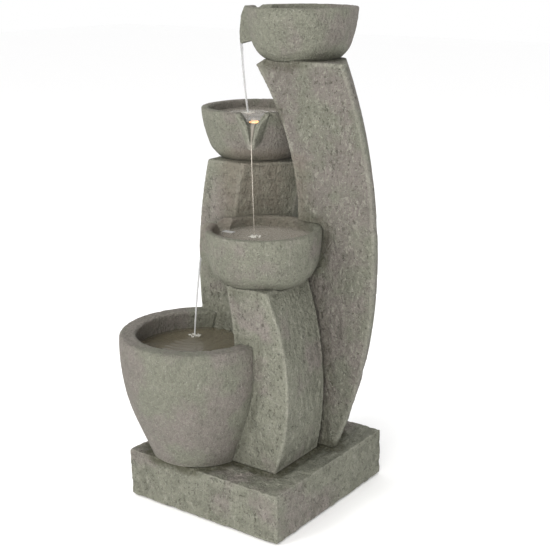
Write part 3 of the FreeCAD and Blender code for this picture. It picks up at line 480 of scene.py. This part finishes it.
SURFACE = search_tree(STONE_NODES)
OVERLAP = 2 * MM     # how far water reaches into the stone
POOL_THICK = 5 * MM
RINGS = 56           # of a pool's mesh
SPOKES = 150
CHANNEL = 22         # steps of a stream along its channel
FALL = 46            # and down to the next pool
AROUND = 14          # sides of a stream


def new_piece(name, shape, material):
    """Object from a bmesh, riding on the fountain."""
    bmesh.ops.recalc_face_normals(shape, faces=shape.faces)
    mesh = bpy.data.meshes.new(name)
    shape.to_mesh(mesh)
    shape.free()
    mesh.polygons.foreach_set("use_smooth", [True] * len(mesh.polygons))
    piece = bpy.data.objects.new(name, mesh)
    bpy.context.scene.collection.objects.link(piece)
    mesh.materials.append(material)
    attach(piece, HOME)


def floor_under(spot):
    """Height of the stone under a point."""
    hit = SURFACE.ray_cast(spot, DOWN)[0]
    return hit.z if hit else None


def pool(name, bowl, level, landing, swell, material, seed):
    """Rippled slab of water that reaches the stone all round."""
    heart = Vector((bowl.centre.x, bowl.centre.y, level))
    search, open_reach = 300 * MM, bowl.radius - 20 * MM
    most = open_reach + 14 * MM
    reach = []
    for number in range(SPOKES):
        angle = 2 * math.pi * number / SPOKES
        heading = Vector((math.cos(angle), math.sin(angle), 0))
        far = SURFACE.ray_cast(heart, heading, search)[3]
        reach.append((heading, min(far + OVERLAP if far else open_reach, most)))
    spots = [heart.copy()]
    for ring in range(1, RINGS + 1):
        for heading, far in reach:
            spots.append(heart + heading * far * ring / RINGS)
    flat = np.array([spot[:] for spot in spots])
    away = np.hypot(flat[:, 0] - landing[0], flat[:, 1] - landing[1])
    wave, fade = 15 * MM, 45 * MM
    rise = swell * np.exp(-away / fade) * np.cos(2 * math.pi * away / wave)
    rise += 0.35 * swell * noise(flat, (60, 60, 0), seed) * np.exp(-away / (2 * fade))
    shape = bmesh.new()
    top = [shape.verts.new(spot + Vector((0, 0, lift))) for spot, lift in zip(spots, rise)]
    low = [shape.verts.new(spot + DOWN * POOL_THICK) for spot in [heart] + spots[-SPOKES:]]
    for number in range(SPOKES):
        after = (number + 1) % SPOKES
        shape.faces.new((top[0], top[1 + number], top[1 + after]))
        shape.faces.new((low[0], low[1 + after], low[1 + number]))
        for ring in range(RINGS - 1):
            inner, outer = 1 + ring * SPOKES, 1 + (ring + 1) * SPOKES
            shape.faces.new((top[inner + number], top[outer + number],
                             top[outer + after], top[inner + after]))
        rim = 1 + (RINGS - 1) * SPOKES
        shape.faces.new((top[rim + number], low[1 + number], low[1 + after], top[rim + after]))
    new_piece(name, shape, material)


def stream(name, path, side, widths, thick, material, seed):
    """Tube of water along a path; widths and thick give its half sizes along it."""
    shape = bmesh.new()
    rings = []
    count = len(path)
    spots = np.array([spot[:] for spot in path])
    beads = 1 + 0.16 * noise(spots, 110, seed)
    for number, spot in enumerate(path):
        before, after = path[max(number - 1, 0)], path[min(number + 1, count - 1)]
        across = (after - before).normalized().cross(side).normalized()
        ring = []
        for step in range(AROUND):
            angle = 2 * math.pi * step / AROUND
            offset = (side * math.cos(angle) * widths[number] * beads[number]
                      + across * math.sin(angle) * thick[number] * beads[number])
            ring.append(shape.verts.new(spot + offset))
        rings.append(ring)
    for first, second in zip(rings, rings[1:]):
        for step in range(AROUND):
            after = (step + 1) % AROUND
            shape.faces.new((first[step], first[after], second[after], second[step]))
    shape.faces.new(rings[0])
    shape.faces.new(list(reversed(rings[-1])))
    new_piece(name, shape, material)


def spout_path(bowl, landing, level, start_level):
    """Path of the water: out of the pool, along the channel and down to the next pool."""
    path = []
    inside, outside = bowl.radius - 40 * MM, bowl.reach - 1 * MM
    wall = bowl.radius - 15 * MM
    for number in range(CHANNEL):
        away = inside + (outside - inside) * number / (CHANNEL - 1)
        spot = bowl.centre + bowl.ahead * away
        height = start_level - 0.6 * MM
        floor = floor_under(Vector((spot.x, spot.y, bowl.rim + 20 * MM)))
        if away > wall and floor and floor > bowl.rim - bowl.drop:
            height = min(height, floor + 0.9 * MM)
        if path:
            height = min(height, path[-1].z)
        path.append(Vector((spot.x, spot.y, height)))
    lip = path[-1] + bowl.ahead * 1.6 * MM - Vector((0, 0, 2.5 * MM))
    path.append(lip)
    end = Vector((landing[0], landing[1], level - 1 * MM))
    for number in range(1, FALL + 1):
        part = number / FALL
        bow = 2.2 * MM * math.sin(math.pi * part)
        path.append(lip.lerp(end, part) + bowl.ahead * bow)
    return path


def pour(name, bowl, landing, level, start_level, material, wide, seed):
    """Stream from a spout's channel to the pool below: wide gives its half width in mm."""
    path = spout_path(bowl, landing, level, start_level)
    widths, thick = [], []
    for number in range(len(path)):
        if number < CHANNEL:
            part = number / (CHANNEL - 1)
            widths.append((8.5 * (1 - part) + wide * part) * MM)
            thick.append((1.1 * (1 - part) + 1.2 * part) * MM)
        else:
            part = (number - CHANNEL) / (len(path) - CHANNEL)
            widths.append(wide * (1 - 0.55 * part) * MM)
            thick.append((1.2 + 0.3 * part) * MM)
    stream(name, path, bowl.side, widths, thick, material, seed)


def splash(name, landing, level, spread, count, material, seed):
    """Bubbles and drops where a stream lands."""
    drawn = np.random.default_rng(seed)
    shape = bmesh.new()
    for _ in range(count):
        angle = drawn.uniform(0, 2 * math.pi)
        away = spread * math.sqrt(drawn.uniform(0, 1))
        size = drawn.uniform(0.7, 2.0) * MM
        centre = Vector((landing[0] + away * math.cos(angle),
                         landing[1] + away * math.sin(angle),
                         level + drawn.uniform(0, 0.4) * size))
        ball = bmesh.ops.create_icosphere(shape, subdivisions=2, radius=size)
        bmesh.ops.translate(shape, verts=ball["verts"], vec=centre)
    new_piece(name, shape, material)


def make_water():
    """Pools, streams and splashes."""
    # The upper pools' pale tint is painted light: it brightens the shaded insides of the
    # bowls.
    pooled = water("pool_water", (0.42, 0.39, 0.34), 0.44, 0.07)
    olive = water("basin_water", (0.165, 0.145, 0.10), 0.50, 0.04)
    falling = water("falling_water", (0.66, 0.67, 0.68), 0.62, 0.14)
    thin = water("thin_water", (0.62, 0.57, 0.50), 0.42, 0.15)
    foam = water("foam_water", (0.72, 0.71, 0.66), 0.50, 0.25)
    # The pools stand 2 mm over the channels' heads, a share of the spout's drop under the rim.
    head = 0.26
    levels = {bowl.node: bowl.rim - head * bowl.drop + 2 * MM
              for bowl in (TOP, SECOND, THIRD)}
    levels["basin"] = BASIN.rim - 38 * MM
    outlet = (TOP.centre.x, TOP.centre.y)
    into_second = (SECOND.centre.x - 19.5 * MM, SECOND.centre.y - 8.9 * MM)
    into_third = (THIRD.centre.x - 19 * MM, THIRD.centre.y - 4 * MM)
    into_basin = (BASIN.centre.x - 51 * MM, BASIN.centre.y + 51 * MM)
    # Bowl, where the water lands or wells up, and height of the ripples in mm
    pools = [(TOP, outlet, 0.8), (SECOND, into_second, 1.0), (THIRD, into_third, 1.0),
             (BASIN, into_basin, 1.4)]
    for number, (bowl, landing, swell) in enumerate(pools):
        pool(f"{bowl.node}_pool", bowl, levels[bowl.node], landing, swell * MM,
             olive if bowl is BASIN else pooled, 40 + number)
    pours = [(TOP, SECOND, into_second, 5.2, falling), (SECOND, THIRD, into_third, 1.0, thin),
             (THIRD, BASIN, into_basin, 3.6, falling)]
    for number, (bowl, below, landing, wide, clear) in enumerate(pours):
        level = levels[below.node]
        pour(f"{bowl.node}_stream", bowl, landing, level, levels[bowl.node], clear, wide,
             60 + number)
        splash(f"{below.node}_splash", landing, level, 13 * MM, 34, foam, 80 + number)


# ---------------------------------------------------------------- finishes

def make_stone():
    """The eight cast pieces."""
    # Name, tooled, pits, green, grit, painted shade at the joints, light
    column = stone("column_stone", 0.60, 0.20, 0.58, 1.0, 0.25, 1.12)
    pinkish = stone("rear_stone", 0.60, 0.20, 0.45, 1.0, 0.62, 0.94)
    smooth = stone("bowl_stone", 0.25, 0.14, 0.53, 0.60, 0.30, 1.03)
    cast = stone("basin_stone", 0.35, 0.06, 0.48, 0.42, 0.25, 0.97)
    plinth = stone("plinth_stone", 0.45, 0.30, 0.60, 1.0, 0.95, 1.14)
    # Node, relief, mesh cell in mm, rounds of smoothing, strip in mm, keep, material
    rows = [("rear_column", column_relief, 2.6, 3, 12, 0.2, pinkish),
            ("left_column", column_relief, 2.6, 3, 10, 0.2, column),
            ("front_column", column_relief, 2.6, 3, 10, 0.2, column),
            ("top_bowl", bowl_relief, 2.4, 3, 5, 0.3, smooth),
            ("second_bowl", bowl_relief, 2.4, 3, 5, 0.3, smooth),
            ("third_bowl", bowl_relief, 2.4, 3, 5, 0.3, smooth),
            ("basin", bowl_relief, 2.6, 3, 6, 0.3, cast),
            ("base_plinth", plinth_relief, 2.6, 9, 6, 0.75, plinth)]
    for number, (node, relief, voxel, rounds, strip, keep, material) in enumerate(rows):
        piece = weathered(node, relief, voxel * MM, rounds, strip * MM, 10 * number + 1, keep)
        piece.data.materials.clear()
        piece.data.materials.append(material)


def finish_fittings():
    """Materials of the carried-over CAD nodes, by their slot in the record."""
    slots = {row["node"]: row["material_slot"] for row in frame["record"]["subparts"]}
    looks = {
        "cast_stone": stone("hidden_stone", 0.2, 0.1, 0.5, 0.5, 0.0, 1.0),
        "black_plastic": moulded("black_plastic", (0.022, 0.022, 0.024), 0.45),
        "grey_plastic": moulded("grey_plastic", (0.22, 0.23, 0.24), 0.4),
        "door_plastic": moulded("door_plastic", (0.17, 0.17, 0.14), 0.6, 500, 0.3),
        "black_rubber": moulded("black_rubber", (0.03, 0.03, 0.03), 0.8, 700, 0.2),
        "clear_hose": moulded("clear_hose", (0.52, 0.57, 0.56), 0.25),
        "lead_jacket": moulded("lead_jacket", (0.02, 0.02, 0.021), 0.55),
        "lamp_lens": glowing_lens("lamp_lens"),
        "brass": metal("brass", (0.72, 0.53, 0.24), 0.3, (1, 8, 1)),
        "stainless": metal("stainless", (0.62, 0.62, 0.61), 0.3, (1, 1, 12)),
        "shaft_ceramic": moulded("shaft_ceramic", (0.82, 0.82, 0.79), 0.25),
    }
    for node, item in frame["nodes"].items():
        item.data.materials.clear()
        item.data.materials.append(looks[slots[node]])


# ---------------------------------------------------------------- studio

def make_camera():
    """Camera in front and to the right, looking down; its place counts in plinth sides."""
    camera = bpy.data.objects.new("camera", bpy.data.cameras.new("camera"))
    bpy.context.scene.collection.objects.link(camera)
    low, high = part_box("base_plinth")
    side = 0.38
    middle = Vector(((low.x + high.x) / 2, (low.y + high.y) / 2, 0))
    camera.location = middle + Vector((3.448, -4.429, 2.849)) * side
    camera.rotation_euler = (math.radians(73.8), 0, math.radians(34.42))
    camera.data.sensor_width = 36
    camera.data.lens = 71.8
    camera.data.shift_x = -0.0804
    camera.data.clip_start = 0.01
    bpy.context.scene.camera = camera


def lamp(name, spot, size, power, colour):
    """Soft square lamp aimed at the middle of the fountain."""
    light = bpy.data.objects.new(name, bpy.data.lights.new(name, "AREA"))
    light.data.size = size
    light.data.energy = power
    light.data.color = colour
    light.location = spot
    middle = Vector((0, 0, 0.45))
    aim = middle - Vector(spot)
    light.rotation_euler = aim.to_track_quat("-Z", "Y").to_euler()
    bpy.context.scene.collection.objects.link(light)


def make_studio():
    """Pale floor, pale surroundings and soft lamps."""
    shape = bmesh.new()
    bmesh.ops.create_grid(shape, x_segments=8, y_segments=8, size=12)
    mesh = bpy.data.meshes.new("floor")
    shape.to_mesh(mesh)
    shape.free()
    floor = bpy.data.objects.new("floor", mesh)
    bpy.context.scene.collection.objects.link(floor)
    make = Nodes("floor_white")
    make.set(Base_Color=(0.98, 0.98, 0.98, 1), Roughness=0.9)
    mesh.materials.append(make.material)
    world = bpy.data.worlds.new("studio")
    world.use_nodes = True
    world.node_tree.nodes["Background"].inputs["Color"].default_value = (1, 1, 1, 1)
    world.node_tree.nodes["Background"].inputs["Strength"].default_value = 1.0
    bpy.context.scene.world = world
    lamp("key", (-1.3, -2.8, 2.6), 1.3, 66, (1.0, 0.985, 0.95))
    lamp("fill", (1.7, -3.1, 1.15), 1.8, 84, (1.0, 0.975, 0.94))
    lamp("back", (0.5, 3.2, 2.0), 2.4, 20, (1, 1, 1))
    bpy.context.scene.view_settings.view_transform = "Standard"


make_camera()
make_studio()
finish_fittings()
make_stone()
make_water()
